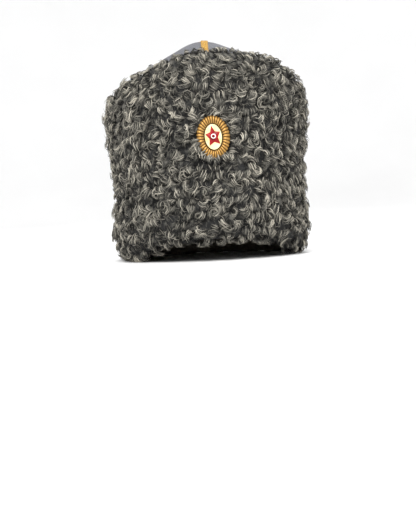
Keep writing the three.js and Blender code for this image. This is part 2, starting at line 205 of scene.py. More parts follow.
class Nodes:
    # A material's node tree, with one short call for each node and its links
    def __init__(self, name):
        self.material = bpy.data.materials.new(name)
        self.material.use_nodes = True
        self.tree = self.material.node_tree
        self.shader = self.tree.nodes["Principled BSDF"]

    def add(self, kind, links=None, **settings):
        node = self.tree.nodes.new("ShaderNode" + kind)
        for key, value in settings.items():
            setattr(node, key, value)
        for socket, source in (links or {}).items():
            self.feed(node.inputs[socket], source)
        return node

    def feed(self, socket, source):
        if isinstance(source, bpy.types.NodeSocket):
            self.tree.links.new(source, socket)
        else:
            socket.default_value = source

    def set(self, **values):
        for key, value in values.items():
            self.feed(self.shader.inputs[key.replace("_", " ")], value)

    def grain(self, **values):
        # The shared grain, with this material's own values
        node = self.add("Group", node_tree=fineGrain)
        for key, value in values.items():
            node.inputs[key].default_value = value
        return node

    def ramp(self, fac, stops):
        node = self.add("ValToRGB", {"Fac": fac})
        ramp = node.color_ramp
        while len(ramp.elements) < len(stops):
            ramp.elements.new(0.5)
        for element, (place, colour) in zip(ramp.elements, stops):
            element.position = place
            element.color = (*colour, 1)
        return node.outputs["Color"]


def shade(red, green, blue):
    # Linear colour of a tone given on the 0 to 255 scale of a picture
    return tuple(((c / 255 + 0.055) / 1.055) ** 2.4 if c > 10 else c / 255 / 12.92
                 for c in (red, green, blue))


def grainGroup():
    # Noise on stretched object coordinates, as a mask between two of its levels and as a normal
    tree = bpy.data.node_groups.new("fine_grain", "ShaderNodeTree")
    starts = {"Stretch": (1.0, 1.0, 1.0), "Scale": 400.0, "Detail": 3.0,
              "Low": 0.3, "High": 0.7, "Depth": 0.0005}
    for name, value in starts.items():
        kind = "NodeSocketVector" if name == "Stretch" else "NodeSocketFloat"
        tree.interface.new_socket(name=name, in_out="INPUT", socket_type=kind).default_value = value
    tree.interface.new_socket(name="Mask", in_out="OUTPUT", socket_type="NodeSocketFloat")
    tree.interface.new_socket(name="Normal", in_out="OUTPUT", socket_type="NodeSocketVector")
    given = tree.nodes.new("NodeGroupInput").outputs
    result = tree.nodes.new("NodeGroupOutput").inputs
    place = tree.nodes.new("ShaderNodeTexCoord").outputs["Object"]
    stretched = tree.nodes.new("ShaderNodeVectorMath")
    stretched.operation = "MULTIPLY"
    noise = tree.nodes.new("ShaderNodeTexNoise")
    mask = tree.nodes.new("ShaderNodeMapRange")
    bump = tree.nodes.new("ShaderNodeBump")
    for source, socket in (
            (place, stretched.inputs[0]), (given["Stretch"], stretched.inputs[1]),
            (stretched.outputs["Vector"], noise.inputs["Vector"]),
            (given["Scale"], noise.inputs["Scale"]),
            (given["Detail"], noise.inputs["Detail"]), (noise.outputs["Fac"], mask.inputs["Value"]),
            (given["Low"], mask.inputs["From Min"]), (given["High"], mask.inputs["From Max"]),
            (noise.outputs["Fac"], bump.inputs["Height"]), (given["Depth"], bump.inputs["Distance"]),
            (mask.outputs["Result"], result["Mask"]), (bump.outputs["Normal"], result["Normal"])):
        tree.links.new(source, socket)
    return tree


fineGrain = grainGroup()


def floorFinish():
    n = Nodes("studio_paper")
    grain = n.grain(Scale=3.0, Low=0.3, High=0.7, Depth=0.0)
    stops = [(0.0, (0.9, 0.9, 0.9)), (1.0, (0.93, 0.93, 0.93))]
    n.set(Base_Color=n.ramp(grain.outputs["Mask"], stops), Roughness=0.75)
    return n.material


# The wall of pelt, in mm. Sections from rim to crest: share of the wall's local height, then
# the outside's half width and half depth as shares of the widest.
wall = {
    "lip": 5.0, "tuck": 1.5, "ledgeDrop": 5.0, "ledgeWidth": 7.0,
    "back": 181.5, "left": 171.3, "right": 172.5,
    "leftFullness": 3.4, "rightFullness": 0.76, "backFullness": 1.1,
    "rimArch": 18.3, "archStartLeft": 0.25, "archStartRight": 0.05,
    "opening": (83.0, 100.5), "thickness": 13.5, "fittedShare": 0.45, "linedShare": 0.9,
    "lockRows": 9, "locksAround": 32, "lockRelief": 4.0, "lockSpread": 0.68,
    "smallestLock": 0.65, "lockWander": 0.4,
    "skinDepth": 5.2, "skinRelief": 0.7,   # the skin lies this far inside the pile, with less relief
    "crestSink": 0.25, "lipSink": 0.35,    # shares of that depth by which its top and lip lie lower
    "crestFrom": 0.85,                     # share of the height at which the crest starts
    "lipCurve": 1.7, "underFade": 0.8,     # how the skin rolls over the crest and in under the rim
    "reliefFade": (0.06, 0.04),            # shares of the height without relief at rim and crest
    "rimTuck": 3.0, "rimTuckEnd": 0.1,     # room for the curls under the lifted front of the rim
    "meanLength": 180.0,                   # mm along the skin from crest to rim
    "sections": [
        (0.0, 0.858, 0.925), (0.035, 0.918, 0.968), (0.1, 0.968, 0.998), (0.22, 0.966, 0.998),
        (0.38, 0.947, 0.984), (0.55, 0.966, 0.966), (0.72, 0.993, 0.942), (0.85, 1.0, 0.908),
        (0.93, 0.983, 0.868), (0.975, 0.955, 0.82), (1.0, 0.883, 0.772),
    ],
}
frontHeight = wallHigh[2]
crestHalf = crownHalf + wall["tuck"] + wall["lip"]
widest = crestHalf / np.array(wall["sections"][-1][1:])


def rimLift(bearing):
    # The rim's underside: rimArch times a smooth step of the bearing's cosine
    start = np.where(np.sin(bearing) > 0, wall["archStartRight"], wall["archStartLeft"])
    return wall["rimArch"] * smooth(np.cos(bearing), start, 1)


def crestHeight(bearing):
    # Between the height at the side and that in front or behind, by c^2 (1 + k^2) / (c^2 + k^2)
    facing = np.cos(bearing) ** 2
    forward = np.cos(bearing) > 0
    left = np.sin(bearing) < 0
    fullness = np.where(forward, np.where(left, wall["leftFullness"], wall["rightFullness"]),
                        wall["backFullness"]) ** 2
    arch = facing * (1 + fullness) / (facing + fullness)
    return blendOf(np.where(left, wall["left"], wall["right"]),
                   np.where(forward, frontHeight, wall["back"]), arch)


def outerHalf(share):
    # Half width and half depth of the outside at a share of the wall's height
    return (widest[0] * readTable(wall["sections"], 1, share),
            widest[1] * readTable(wall["sections"], 2, share))


def innerHalf(share):
    # The opening's size at the rim, then the outside less the wall's thickness
    outer = outerHalf(np.minimum(share, wall["linedShare"]))
    free = smooth(share, 0, wall["fittedShare"])
    return tuple(blendOf(opening, half - wall["thickness"], free)
                 for opening, half in zip(wall["opening"], outer))


def around(halfX, halfY, bearing, height):
    # Point of an ellipse: halfX sin(bearing), -halfY cos(bearing)
    parts = np.broadcast_arrays(halfX * np.sin(bearing), -halfY * np.cos(bearing), height)
    return np.stack(parts, axis=-1)


def scatter(row, column, salt):
    # A repeatable number from 0 to 1 for a lock
    wave = np.sin(row * 127.1 + column * 311.7 + salt * 74.7) * 43758.5453
    return wave - np.floor(wave)


def lockHeight(bearing, share):
    # The highest of the rounded bumps near a place, each size * (1 - distance^2)
    rowPlace = share * wall["lockRows"] - 0.5
    columnPlace = bearing / fullTurn * wall["locksAround"]
    best = np.zeros(np.broadcast(bearing, share).shape)
    for rowStep in range(-1, 3):
        row = np.floor(rowPlace) + rowStep
        stagger = 0.5 * np.abs(np.fmod(row, 2))
        for step in range(-2, 3):
            column = np.round(columnPlace - stagger) + step
            wrapped = np.mod(column, wall["locksAround"])
            wander = wall["lockWander"]
            centreRow = row + wander * (scatter(row, wrapped, 1) - 0.5)
            centreColumn = column + stagger + wander * (scatter(row, wrapped, 2) - 0.5)
            distance = np.hypot(rowPlace - centreRow, columnPlace - centreColumn)
            distance = distance / wall["lockSpread"]
            size = blendOf(wall["smallestLock"], 1, scatter(row, wrapped, 3))
            best = np.maximum(best, size * (1 - distance * distance))
    return wall["lockRelief"] * best


# Shallow dips of the pile along the crest, and one rise: bearing of the middle, half width, drop
crestDips = [(-1.15, 0.2, 2.4), (-0.58, 0.32, 3.2), (0.42, 0.22, 0.9), (1.0, 0.2, -1.5)]


def skinPoint(bearing, path):
    # The skin from the crown's edge over the crest (path -1 to 0), down the outside (0 to 1) and
    # under the rim to the opening (1 to 2)
    sunk = wall["skinDepth"]
    share = np.clip(1 - path, 0, 1)
    atCrest = smooth(share, wall["crestFrom"], 1)
    halfX, halfY = outerHalf(share)
    height = blendOf(rimLift(bearing), crestHeight(bearing), share)
    over = np.clip(-path, 0, 1)
    under = np.clip(path - 1, 0, 1)
    halfX = halfX - over * wall["lip"] - under * (halfX - wall["opening"][0])
    halfY = halfY - over * wall["lip"] - under * (halfY - wall["opening"][1])
    height = height - wall["ledgeDrop"] * over ** wall["lipCurve"]
    atRim = 1 - smooth(share, 0, wall["rimTuckEnd"])
    height = height + wall["rimTuck"] * rimLift(bearing) / wall["rimArch"] * atRim
    rimFade, crestFade = wall["reliefFade"]
    fade = smooth(share, 0, rimFade) * smooth(1 - share, 0, crestFade)
    relief = wall["skinRelief"] * lockHeight(bearing, share) * fade * pressedBy(bearing, height)
    relief = relief - sunk * smooth(2 - path, 0, wall["underFade"])
    out = unit(around(halfY * np.ones_like(bearing), halfX, bearing, 0 * height))
    relief = relief * (1 - over) * (1 - under)
    point = around(halfX, halfY, bearing, height) + out * relief[..., None]
    point[..., 2] -= sunk * over * wall["lipSink"] + sunk * atCrest * wall["crestSink"]
    for middle, width, drop in crestDips:
        aside = np.mod(bearing - middle + math.pi, fullTurn) - math.pi
        point[..., 2] -= drop * np.exp(-(aside / width) ** 2) * atCrest
    return point


badgeLow, badgeHigh = (np.array(corner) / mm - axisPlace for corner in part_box("cockade_plate"))
badgeMiddle = (badgeLow + badgeHigh) / 2
badgeSize = badgeHigh - badgeLow
badgePress = (0.55, 0.85)   # reaches up to which the locks are flat, and past which they stand free


def badgeReach(x, z):
    # 0 at the cockade's middle, 0.5 on its edge
    return np.hypot((x - badgeMiddle[0]) / badgeSize[0], (z - badgeMiddle[2]) / badgeSize[2])


def pressedBy(bearing, height):
    # The locks are pressed flat behind the cockade
    x = np.sin(bearing) * widest[0]
    reach = badgeReach(x, height)
    return np.where(np.cos(bearing) > 0, smooth(reach, *badgePress), 1.0)


def skinFrame(bearing, path):
    # Place, and the directions round the hat, down the path and outwards
    step = 0.012
    place = skinPoint(bearing, path)
    sideways = unit(skinPoint(bearing + step, path) - skinPoint(bearing - step, path))
    down = unit(skinPoint(bearing, path + step) - skinPoint(bearing, path - step))
    out = unit(np.cross(down, sideways))
    return place, sideways, np.cross(sideways, out), out


def peltFinish():
    # Painted shade: dark between the tufts, paler on the heaps under them
    n = Nodes("pile_ground")
    heap = n.add("Attribute", attribute_name="heap").outputs["Fac"]
    grain = n.grain(Stretch=(1.0, 1.0, 0.5), Scale=700.0, Detail=3.0, Low=0.38, High=0.62,
                    Depth=0.0012)
    mixed = n.add("Math", {0: grain.outputs["Mask"], 1: 0.45, 2: heap},
                  operation="MULTIPLY_ADD").outputs["Value"]
    stops = [(0.0, shade(5, 5, 5)), (0.3, shade(16, 16, 15)), (0.47, shade(46, 45, 41)),
             (0.83, shade(82, 80, 74))]
    n.set(Base_Color=n.ramp(mixed, stops), Roughness=0.85, Normal=grain.outputs["Normal"])
    return n.material


def hideFinish():
    # The pelt's bare side, which lines the hollow
    n = Nodes("suede_back")
    grain = n.grain(Scale=420.0, Detail=5.0, Low=0.3, High=0.7, Depth=0.0005)
    stops = [(0.0, shade(88, 82, 74)), (1.0, shade(122, 115, 104))]
    n.set(Base_Color=n.ramp(grain.outputs["Mask"], stops), Roughness=0.9,
          Normal=grain.outputs["Normal"])
    return n.material


pelt = {
    "columns": 380, "outerRows": 108, "lipRows": 4, "rimRows": 4, "innerRows": 10,
    "rollHeap": 0.55, "hookHeap": 0.2,   # height of the heap under a tuft, as a share of its radius
    "heapWidth": 0.52,                   # and its radius, as a share of the tuft's width
    "heapAhead": 0.95,                   # how far ahead of a roll's root it lies, in radii
    "heapCells": 4,                      # cells of the grid that it may reach each way
    "shadeFreeHeap": 2.2,                     # mm of heap where the ground's painted shade ends and its colour is palest
}


def heapsUnder(plan):
    # On the pelt's grid, the highest of the rounded heaps height * (1 - distance^2), one under
    # each tuft: under its root for a hook, and ahead of it for a roll
    p = pelt
    ahead = p["heapAhead"] * plan["radius"] * ~plan["hook"]
    bearing = plan["bearing"] + ahead * np.sin(plan["lay"]) / widest.mean()
    column = bearing / fullTurn * p["columns"]
    path = plan["path"] + ahead * np.cos(plan["lay"]) / wall["meanLength"]
    row = np.where(path > 0, p["lipRows"] + path * p["outerRows"], (path + 1) * p["lipRows"])
    reach = np.arange(-p["heapCells"], p["heapCells"] + 1)
    rows = np.round(row).astype(int)[:, None, None] + reach[None, :, None]
    columns = np.round(column).astype(int)[:, None, None] + reach[None, None, :]
    across = (columns - column[:, None, None]) * fullTurn * widest.mean() / p["columns"]
    down = (rows - row[:, None, None]) * wall["meanLength"] / p["outerRows"]
    size = (p["heapWidth"] * plan["width"])[:, None, None]
    height = plan["radius"] * np.where(plan["hook"], p["hookHeap"], p["rollHeap"])
    heap = height[:, None, None] * np.clip(1 - (across**2 + down**2) / size**2, 0, None)
    heaps = np.zeros((p["lipRows"] + p["outerRows"] + p["rimRows"], p["columns"]))
    inside = (rows >= 1) & (rows < p["lipRows"] + p["outerRows"])
    cells = np.broadcast_arrays(rows, columns % p["columns"], inside)
    np.maximum.at(heaps, (cells[0][cells[2]], cells[1][cells[2]]), heap[cells[2]])
    return heaps


def makePelt(plan):
    # One closed grid: the skin with its heaps, then the hollow's side from the opening up
    p = pelt
    bearing = np.linspace(0, fullTurn, p["columns"], endpoint=False)[None, :]
    path = np.concatenate([np.linspace(-1, 0, p["lipRows"], endpoint=False),
                           np.linspace(0, 1, p["outerRows"], endpoint=False),
                           np.linspace(1, 2, p["rimRows"])])[:, None]
    heaps = heapsUnder(plan)
    outside, _, _, out = skinFrame(bearing + 0 * path, path + 0 * bearing)
    outside = outside + out * heaps[..., None]
    share = np.linspace(0, 1, p["innerRows"] + 1)[1:, None]
    top = crestHeight(bearing) - wall["ledgeDrop"]
    halfX, halfY = innerHalf(share)
    halfX[-1], halfY[-1] = crestHalf - wall["lip"] - wall["ledgeWidth"]
    inside = around(halfX, halfY, bearing, blendOf(rimLift(bearing), top, share))
    points = np.concatenate([outside, inside])
    points[..., 2] = np.maximum(points[..., 2], tufts["floorGap"])
    rows = len(points)
    faces = gridFaces(rows, p["columns"], rowsMeet=True)
    hide = np.repeat(np.arange(rows) >= len(path) - 1, p["columns"])
    # The heaps' height as a mask of painted shade, darker between the tufts
    heap = np.concatenate([heaps / p["shadeFreeHeap"], 0 * inside[..., 0]])
    piece = meshOf("karakul_pelt", points, [faces], [peltFinish(), hideFinish()],
                   {"heap": heap}, faceMaterials=hide)
    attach(piece, "root")
    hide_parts("karakul_wall")
    print("pelt:", 2 * len(faces), "triangles")


# Tufts: bundles of fine strands that leave the skin, roll over and tuck in again. Most are
# rolls that hang downwards, the others hooks that turn flat on the skin like a snail's shell.
# Lengths are in mm. Angles are in degrees for rise, tuftRiseWander, from, to, nearest and
# angleWander, and in radians for the others. Each width, radius, turn, barrel and tips is the
# range that a tuft draws from, and a wander or astray is the spread of a normal draw.
tufts = {
    "pitch": (8.0, 7.7), "wallHeight": 186.0,    # round the hat and down it
    "crestRows": (-0.8, -0.4, 0.0), "rimRow": 1.2, "firstRow": 0.35,
    "shift": 0.4,                                # moved at random by this share of the pitch,
    "pushReach": 1.15, "push": 0.3, "pushes": 10,   # then pushed apart from those nearby
    "strands": 10, "rings": 6, "strandWidth": 0.84, "strandThickness": 0.64, "floorGap": 0.3,
    "roll": {"width": (6.0, 9.8), "radius": (2.6, 4.5), "turn": (3.2, 4.5), "rise": 108.0,
             "lean": 0.45, "barrel": (0.0, 0.30), "bulge": 0.8, "tips": (0.4, 1.1)},
    "hook": {"width": (4.4, 7.2), "radius": (3.0, 5.0), "turn": (3.8, 5.4), "rise": 28.0,
             "lean": 1.15, "barrel": (0.0, 0.1), "bulge": 1.2, "tips": (0.3, 0.8)},
    "hookShare": 0.32, "flatness": 0.68,
    "leanWander": 0.2, "tuftRiseWander": 8.0, "start": 0.1, "startWander": 0.4,
    "layWander": 0.6, "strandWander": 0.17, "riseWander": 0.11, "sizeWander": 0.08,
    "rankWander": 0.05, "rootWander": 0.8, "swellWander": 0.2,
    "crimp": 0.24, "crimpTurn": (6, 12),         # a strand's waves: their size, and radians along it
    "rootSpread": 0.8, "rootTaper": 0.6, "tipTaper": 0.7, "widthSpread": (0.75, 1.2),
    "easeAbove": 5.8, "ease": 0.62,              # hair that stands higher is brought back by a share
    "crestPath": 0.03, "lipPath": 0.01,          # on the crest and lip, smoother and smaller rolls
    "lipRadius": 0.82, "lipCalm": 0.35, "lipLay": 0.6,
    "braidClear": 8.0,                           # each way without curls on the lip before the braid
    "paintedTopLight": 0.07,                            # painted light, paler on the upper side of a curl
    # Mean tone and spread of the two sorts of hair, and the spreads from tuft to tuft and within
    "paleHair": (0.65, 0.13), "darkHair": (0.34, 0.11), "tuftTone": 0.05, "cornerTone": 0.03,
    "paintedShadeLift": 0.46, "liftFrom": 0.9, "liftTo": 4.8, "paintedShadeDeep": -0.49,   # painted shade, darker near the skin
    # Round the cockade, in shares of its size: no roots inside, smaller curls that turn away
    "besideBadge": (0.61, 0.76), "besideRadius": 0.8, "besideLay": 0.7,
    # Curls that lie over its lower edge, and a collar of small ones that turn away from the rest
    # of it. Their roots stand outside its edge, by the second number less about one angle.
    "cover": {"from": 192, "to": 298, "count": 13, "outside": (6.2, 2.6), "start": 1.8,
              "width": (4.5, 6.5), "radius": (3.6, 4.4), "turn": (2.4, 3.0), "rise": 84.0,
              "astray": 0.4},
    "collar": {"from": -58, "to": 186, "count": 20, "outside": (1.8, 0.0), "radius": (2.2, 3.2),
               "astray": 0.9},
    "nearest": (222, 24), "angleWander": 2.0, "outsideWander": 0.4,
}
# The way the hair lies: radians, waves round the hat, radians down the path, start
driftWaves = [(0.34, 5, 7, 0.7), (0.30, 11, -13, 2.1), (0.16, 23, 19, 4.0)]
looseHairs = {
    "count": 1900, "rings": 5, "width": 0.46, "length": (6.0, 12.0), "radius": (2.8, 5.6),
    "path": (0.07, 0.97), "badgeClear": 0.66, "badgeDrop": 3.0,   # none hangs over the cockade
    "layWander": 0.9, "rise": (0.1, 0.6), "lean": 0.6, "lie": 1.5,
    "crimp": 0.4, "crimpTurn": (5, 10), "tipTaper": 0.75, "tone": 0.5, "toneWander": 0.12,
}
# Painted shadow of a crease in the pile below the cockade, taken off the hair's tone: its half
# length, how far below the middle it lies, its rise at the ends, its width and how dark it is
creaseShadow = {"half": 27.0, "drop": 25.0, "curve": 2.5, "width": 3.2, "shade": 0.38}


def placeTufts():
    # Staggered rows round the wall, pushed about at random, then spread apart from each other
    t = tufts
    radius, height = widest.mean(), t["wallHeight"]
    pitchX, pitchY = t["pitch"]
    count = int(round(fullTurn * radius / pitchX))
    freeRows = int(round(height / pitchY))
    free = (np.arange(freeRows) + t["firstRow"]) / freeRows
    pathRows = np.concatenate([t["crestRows"], free, [t["rimRow"]]])
    stagger = 0.5 * (np.arange(len(pathRows)) % 2)[:, None]
    bearing = ((np.arange(count)[None, :] + stagger) / count * fullTurn).ravel()
    path = np.repeat(pathRows, count)
    loose = (path > 0) & (path < 1)
    shift = t["shift"]
    x = bearing * radius + dice.uniform(-shift, shift, len(bearing)) * pitchX
    y = path * height + np.where(loose, dice.uniform(-shift, shift, len(bearing)), 0) * pitchY
    span = fullTurn * radius
    for _ in range(t["pushes"]):
        gapX = x[:, None] - x[None, :]
        gapX -= span * np.round(gapX / span)
        gapY = y[:, None] - y[None, :]
        gap = np.hypot(gapX, gapY) + 1e-6
        push = np.clip(1 - gap / (t["pushReach"] * pitchX), 0, None) / gap
        x += t["push"] * pitchX * (push * gapX).sum(1)
        y += np.where(loose, t["push"] * pitchX * (push * gapY).sum(1), 0)
    path = np.where(loose, np.clip(y / height, 0.01, 0.985), path)
    return np.mod(x / radius, fullTurn), path


def drift(bearing, path):
    # The way the hair lies wanders slowly from place to place, in radians from straight down:
    # the sum of a few waves size * sin(bearing * roundHat + path * downPath + start)
    return sum(size * np.sin(bearing * roundHat + path * downPath + start)
               for size, roundHat, downPath, start in driftWaves)


def turnAbout(vectors, axis, angle):
    # Rodrigues: v cos a + (k x v) sin a + k (k . v)(1 - cos a), for arrays of angles
    c, s = np.cos(angle)[..., None], np.sin(angle)[..., None]
    along = (axis * vectors).sum(-1, keepdims=True)
    return vectors * c + np.cross(axis, vectors) * s + axis * along * (1 - c)


def curlLines(ahead, out, rise, lean, turn, radius, rings):
    # Centre-lines from the origin: the tangent starts "rise" above the skin and turns about an
    # axis that leans from the side towards the skin's normal, ever tighter towards the tip.
    # Gives the line and the sideways and outwards directions, each curl x ring x 3, and the
    # rings' shares of the length. The line is summed in finer steps than the rings.
    finer = 4
    side = np.cross(out, ahead)
    axis = np.cos(lean)[:, None] * side + np.sin(lean)[:, None] * out
    start = np.cos(rise)[:, None] * ahead + np.sin(rise)[:, None] * out
    steps = finer * (rings - 1)
    s = np.linspace(0, 1, steps + 1)
    spin = turn[:, None] * (0.75 * s + 0.25 * s * s)
    tangent = turnAbout(start[:, None, :], axis[:, None, :], spin)
    moves = (tangent[:, 1:] + tangent[:, :-1]) / 2 * (turn * radius / steps)[:, None, None]
    line = np.concatenate([np.zeros((len(out), 1, 3)), np.cumsum(moves, axis=1)], axis=1)
    across = turnAbout(side[:, None, :], axis[:, None, :], spin)
    proud = np.cross(tangent, across)
    return line[:, ::finer], across[:, ::finer], proud[:, ::finer], s[::finer]


def tubeRound(middle, across, proud, half, thick):
    # Three corners round each ring, an upright one and two beside it, at the middle
    # + across cos(corner) half + proud sin(corner) thick
    corner = np.array([math.pi / 2, math.pi * 7 / 6, math.pi * 11 / 6])
    points = (middle[:, :, None, :]
              + across[:, :, None, :] * (np.cos(corner) * half[..., None])[..., None]
              + proud[:, :, None, :] * (np.sin(corner) * thick[..., None])[..., None])
    points[..., 2] = np.maximum(points[..., 2], tufts["floorGap"])
    return points


def tubeFaces(count, rings):
    # Three sides between neighbouring rings, and a triangle at each end
    ring = np.arange(rings - 1)[:, None] * 3
    c = np.arange(3)[None, :]
    sides = np.stack([ring + c, ring + (c + 1) % 3, ring + 3 + (c + 1) % 3, ring + 3 + c], axis=-1)
    ends = np.array([[0, 2, 1], [3 * rings - 3, 3 * rings - 2, 3 * rings - 1]])
    base = (np.arange(count) * rings * 3)[:, None, None]
    return [(base + sides.reshape(-1, 4)).reshape(-1, 4), (base + ends).reshape(-1, 3)]


def easeDown(points, place, out, ease):
    # Brings the hair that stands far off the skin part of the way back to it
    lift = ((points - place[:, None, :]) * out[:, None, :]).sum(-1)
    less = np.clip(lift - tufts["easeAbove"], 0, None) * ease
    return points - out[:, None, :] * less[..., None], lift - less


def strandToneAndShade(lift, total):
    # Light and dark hairs mixed, with painted shade that darkens them towards the skin
    t = tufts
    pale = dice.random(total) < 0.5
    tone = np.where(pale, dice.normal(*t["paleHair"], total), dice.normal(*t["darkHair"], total))
    return tone[:, None] + t["paintedShadeLift"] * smooth(lift, t["liftFrom"], t["liftTo"]) + t["paintedShadeDeep"]


def rootsRoundBadge(key):
    # Bearing and path of the roots just outside the cockade's edge, and the way across it.
    # The bearing is found from x in a few rounds, since the wall's width changes with the path.
    t = tufts[key]
    angle = np.linspace(t["from"], t["to"], t["count"])
    angle = angle + dice.normal(0, tufts["angleWander"], t["count"])
    nearest, halfWidth = tufts["nearest"]
    outside = t["outside"][0] - t["outside"][1] * np.exp(-((angle - nearest) / halfWidth) ** 2)
    outside = outside + dice.normal(0, tufts["outsideWander"], t["count"])
    outside = badgeSize / 2 + outside[:, None]
    angle = np.radians(angle)
    x = badgeMiddle[0] + outside[:, 0] * np.cos(angle)
    z = badgeMiddle[2] + outside[:, 2] * np.sin(angle)
    bearing = np.arcsin(x / widest[0])
    for _ in range(3):
        share = (z - rimLift(bearing)) / (crestHeight(bearing) - rimLift(bearing))
        bearing = np.arcsin(x / (outerHalf(share)[0] - wall["skinDepth"]))
    lay = np.arctan2(-np.cos(angle), np.sin(angle)) + (math.pi if key == "collar" else 0)
    return np.mod(bearing, fullTurn), 1 - share, lay + dice.normal(0, t["astray"], t["count"])


def planTufts():
    # Where each tuft stands, the way it lies and how it is rolled
    t = tufts
    bearing, path = placeTufts()
    place = skinFrame(bearing, path)[0]
    reach = np.where(place[:, 1] < 0, badgeReach(place[:, 0], place[:, 2]), 9)
    low, high = t["besideBadge"]
    overBraid = (path < -0.2) & (np.abs(place[:, 0]) < t["braidClear"]) & (place[:, 1] < 0)
    keep = (reach > low) & ~overBraid
    bearing, path, place, reach = (a[keep] for a in (bearing, path, place, reach))
    layWander = np.where(path < t["crestPath"], t["lipLay"], t["layWander"])
    lay = drift(bearing, path) + dice.normal(0, layWander)
    # Round the cockade the curls turn away from it, and the first row leans over the crown
    away = np.arctan2(place[:, 0] - badgeMiddle[0], -(place[:, 2] - badgeMiddle[2]))
    lay = np.where(reach < high, away + dice.normal(0, t["besideLay"], len(bearing)), lay)
    lay = np.where(path < np.mean(t["crestRows"][:2]), lay + math.pi, lay)
    sets = [(bearing, path, lay), rootsRoundBadge("cover"), rootsRoundBadge("collar")]
    bearing, path, lay = (np.concatenate(part) for part in zip(*sets))
    sort = np.repeat(["free", "cover", "collar"], [len(each[0]) for each in sets])
    sort[:len(reach)][reach < high] = "beside"
    place, sideways, down, out = skinFrame(bearing, path)
    count = len(bearing)
    hook = (dice.random(count) < t["hookShare"]) & (path > t["crestPath"]) & (sort == "free")
    lay = np.where(hook, dice.uniform(0, fullTurn, count), lay)
    sort[hook] = "hook"

    def kind(key):
        # The value that each kind of tuft has: its own, or the rolls' one
        names = ("roll", "hook", "cover", "collar")
        values = {name: t[name].get(key, t["roll"][key]) for name in names}
        values["free"] = values["beside"] = values["roll"]
        return np.array([values[name] for name in sort])

    def pick(key):
        return dice.uniform(*kind(key).T)

    besideRadius = np.where(sort == "beside", t["besideRadius"], 1.0)
    radius = pick("radius") * np.where(path < t["lipPath"], t["lipRadius"], besideRadius)
    # A hook leans to one side or the other, a roll only wanders about upright
    side = dice.choice([-1, 1], count)
    hookLean = side * (kind("lean") + dice.normal(0, t["leanWander"], count))
    lean = np.where(hook, hookLean, dice.normal(0, 1, count) * kind("lean"))
    cover = sort == "cover"
    return {
        "bearing": bearing, "path": path, "place": place, "out": out, "hook": hook, "lay": lay,
        "ahead": np.cos(lay)[:, None] * down + np.sin(lay)[:, None] * sideways,
        "width": pick("width"), "radius": radius, "turn": pick("turn"), "lean": lean,
        "rise": np.radians(kind("rise") + dice.normal(0, t["tuftRiseWander"], count)),
        "bulge": kind("bulge"), "barrel": pick("barrel"), "tips": pick("tips"),
        "calm": np.where(path < t["crestPath"], t["lipCalm"], 1.0),
        "flatness": np.where(cover, 1.0, t["flatness"]), "ease": np.where(cover, 0.0, t["ease"]),
        "start": np.where(cover, t["cover"]["start"],
                          dice.normal(t["start"], t["startWander"], count)),
    }


def paintedCreaseShadow(points):
    # Painted shadow of the crease: a bell across a shallow arc below the cockade, dying out at its
    # ends
    side = (points[..., 0] - badgeMiddle[0]) / creaseShadow["half"]
    height = badgeMiddle[2] - creaseShadow["drop"] + creaseShadow["curve"] * side**2
    bell = np.exp(-((points[..., 2] - height) / creaseShadow["width"]) ** 2) * np.clip(1 - side**2, 0, 1)
    return creaseShadow["shade"] * bell * (points[..., 1] < 0)


def crimpWaves(s, turn):
    # One wave along each strand, at its own pace and start
    pace = dice.uniform(*turn, (len(s), 1))
    return np.sin(s * pace + dice.uniform(0, fullTurn, (len(s), 1)))


